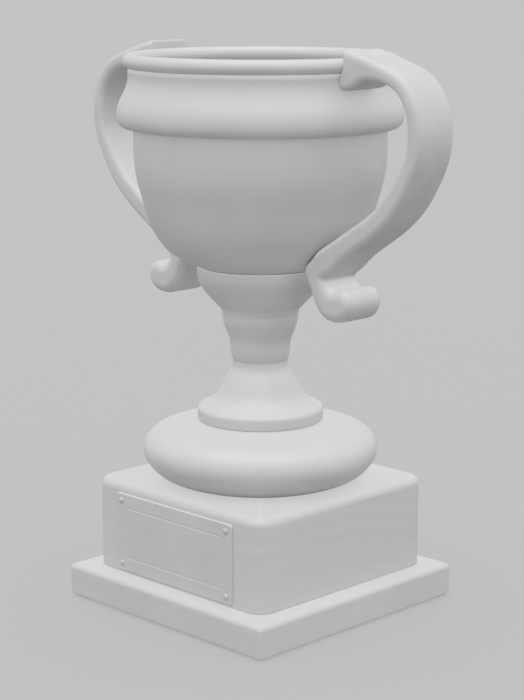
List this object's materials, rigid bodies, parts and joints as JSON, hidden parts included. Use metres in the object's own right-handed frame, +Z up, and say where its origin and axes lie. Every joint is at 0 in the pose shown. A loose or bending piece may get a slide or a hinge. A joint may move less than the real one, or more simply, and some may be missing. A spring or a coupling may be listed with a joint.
{
  "type": "cup trophy",
  "caption": "Two-handled award cup with a rolled rim, slender stem and turned base ring on a stepped square plinth with a blank nameplate.",
  "frame": {"origin": "middle of the felt pad's underside, where the trophy stands on the table", "axes": "+Z up along the cup's axis, -Y out of the nameplate's face, +X and -X out through the two handles"},
  "size_m": [0.2044, 0.1278, 0.2549],
  "materials": {
    "spun_metal": "pale satin metal, spun and lacquered matt",
    "cast_metal": "pale satin cast metal, fine grain",
    "lacquered_wood": "pale grey satin lacquer over wood",
    "plate_metal": "brushed blank plate",
    "fastener_steel": "plated steel hardware",
    "felt": "short-pile felt"
  },
  "bodies": {
    "root": {"felt_pad": "felt", "plinth_step": "lacquered_wood", "plinth_block": "lacquered_wood", "nameplate": "plate_metal", "base_ring": "spun_metal", "foot": "spun_metal", "stem": "spun_metal", "calyx": "spun_metal", "bowl": "spun_metal", "rim_band": "spun_metal", "handle_right": "cast_metal", "handle_left": "cast_metal", "rim_wire": "fastener_steel", "tie_rod": "fastener_steel", "base_washer": "fastener_steel", "base_nut": "fastener_steel", "bowl_washer": "fastener_steel", "bowl_cap_nut": "fastener_steel", "plinth_screw_1": "fastener_steel", "plinth_screw_2": "fastener_steel", "plinth_screw_3": "fastener_steel", "plinth_screw_4": "fastener_steel", "nameplate_pin_1": "fastener_steel", "nameplate_pin_2": "fastener_steel", "nameplate_pin_3": "fastener_steel", "nameplate_pin_4": "fastener_steel", "handle_right_upper_screw": "fastener_steel", "handle_right_lower_screw": "fastener_steel", "handle_right_lower_washer": "fastener_steel", "handle_left_upper_screw": "fastener_steel", "handle_left_lower_screw": "fastener_steel", "handle_left_lower_washer": "fastener_steel"}
  },
  "joints": []
}
